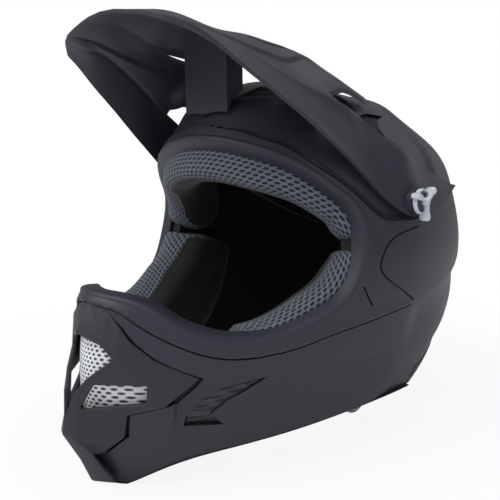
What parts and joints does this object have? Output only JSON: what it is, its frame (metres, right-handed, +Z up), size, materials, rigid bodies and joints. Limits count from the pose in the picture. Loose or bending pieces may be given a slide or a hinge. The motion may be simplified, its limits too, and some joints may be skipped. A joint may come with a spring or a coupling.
{
  "type": "downhill bike full face helmet",
  "caption": "Full face downhill cycling helmet: a vented shell with chin bar and muzzle guard round a padded foam liner, and a long tilting visor on side thumb screws.",
  "frame": {"origin": "on the surface that the helmet stands on, under the middle of its outer box", "axes": "+Z up, the face port looks along -Y, +X is the wearer's left"},
  "size_m": [0.2628, 0.3764, 0.2948],
  "materials": {
    "shell": "matte slate navy lacquer on a moulded shell",
    "visor": "matte slate navy moulded plastic",
    "guard": "matte dark moulded plastic",
    "skirt": "matte flexible moulding",
    "trim": "matte black rubber",
    "mesh": "pale pierced sheet",
    "foam": "black painted bead foam",
    "pad_fabric": "grey and black spacer mesh fabric",
    "plate": "black moulded plastic",
    "thumb_screw": "pale clear moulded plastic",
    "brass": "turned brass",
    "webbing": "black woven webbing",
    "steel": "plated steel"
  },
  "bodies": {
    "helmet": {"outer_shell": "shell", "rear_skirt": "skirt", "port_trim": "trim", "base_trim": "trim", "muzzle_guard": "guard", "muzzle_mesh": "mesh", "side_mesh_left": "mesh", "side_mesh_right": "mesh", "eps_liner": "foam", "chin_foam": "foam", "crown_pad": "pad_fabric", "brow_pad": "pad_fabric", "neck_roll": "pad_fabric", "cheek_pad_left": "pad_fabric", "cheek_pad_right": "pad_fabric", "cheek_plate_left": "plate", "cheek_plate_right": "plate", "cheek_pad_studs": "plate", "visor_insert_left": "brass", "visor_insert_right": "brass", "visor_washer_left": "trim", "visor_washer_right": "trim", "strap_left": "webbing", "strap_right": "webbing", "strap_keeper": "plate", "strap_anchor_left": "steel", "strap_anchor_right": "steel", "strap_rivets": "steel"},
    "visor": {"visor": "visor"},
    "screw_left": {"visor_screw_left": "thumb_screw"},
    "screw_right": {"visor_screw_right": "thumb_screw"},
    "ring_outer": {"d_ring_outer": "steel"},
    "ring_inner": {"d_ring_inner": "steel"}
  },
  "joints": [
    {"name": "visor_tilt", "type": "hinge", "parent": "helmet", "child": "visor", "pos_m": [0, 0.01395, 0.17711], "axis": [-1, 0, 0], "range_deg": [-5, 8]},
    {"name": "screw_left_turn", "type": "hinge", "parent": "helmet", "child": "screw_left", "pos_m": [0.12, 0.01395, 0.17711], "axis": [1, 0, 0], "range_deg": [0, 360]},
    {"name": "screw_right_turn", "type": "hinge", "parent": "helmet", "child": "screw_right", "pos_m": [-0.12, 0.01395, 0.17711], "axis": [-1, 0, 0], "range_deg": [0, 360]},
    {"name": "ring_outer_swing", "type": "hinge", "parent": "helmet", "child": "ring_outer", "pos_m": [0.0672, 0.02295, 0.0283], "axis": [0, -1, 0], "range_deg": [0, 60]},
    {"name": "ring_inner_swing", "type": "hinge", "parent": "helmet", "child": "ring_inner", "pos_m": [0.0626, 0.02295, 0.0283], "axis": [0, -1, 0], "range_deg": [-60, 0]}
  ]
}
